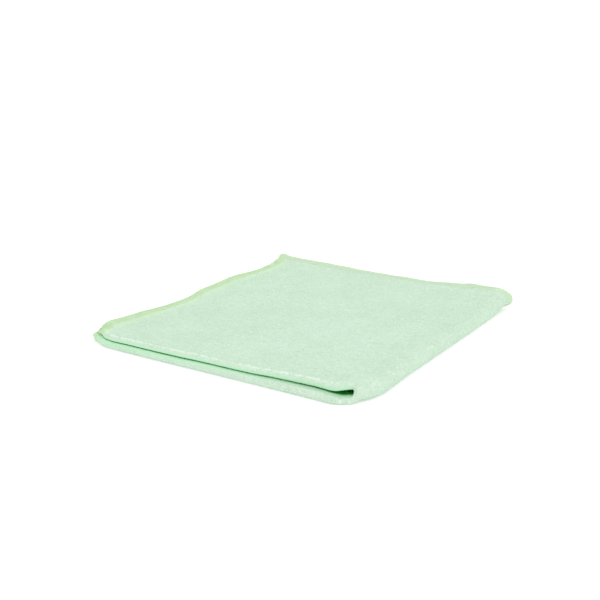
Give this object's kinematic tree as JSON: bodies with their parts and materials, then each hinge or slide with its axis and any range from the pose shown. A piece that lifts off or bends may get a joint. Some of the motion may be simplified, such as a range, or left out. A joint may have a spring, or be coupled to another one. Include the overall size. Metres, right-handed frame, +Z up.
{
  "type": "microfibre cleaning cloth folded in quarters",
  "caption": "Short-pile knitted cleaning cloth with overlocked edges, folded in half twice and lying flat, for wiping and drying surfaces",
  "frame": {"origin": "The middle of the folded cloth's outline box, on the surface it lies on.", "axes": "+Z points up from the surface, through the four layers. -Y points to the side of the first fold and +Y to the free edges opposite it. +X points to the side of the second fold and -X to the free edges opposite it."},
  "size_m": [0.207, 0.2168, 0.015],
  "materials": {
    "cloth": "pale mint green short-pile knit, soft and matt",
    "edge_thread": "yellow-green overlock thread along the free edges, matt"
  },
  "bodies": {
    "root": {"cloth": "cloth"}
  },
  "joints": []
}
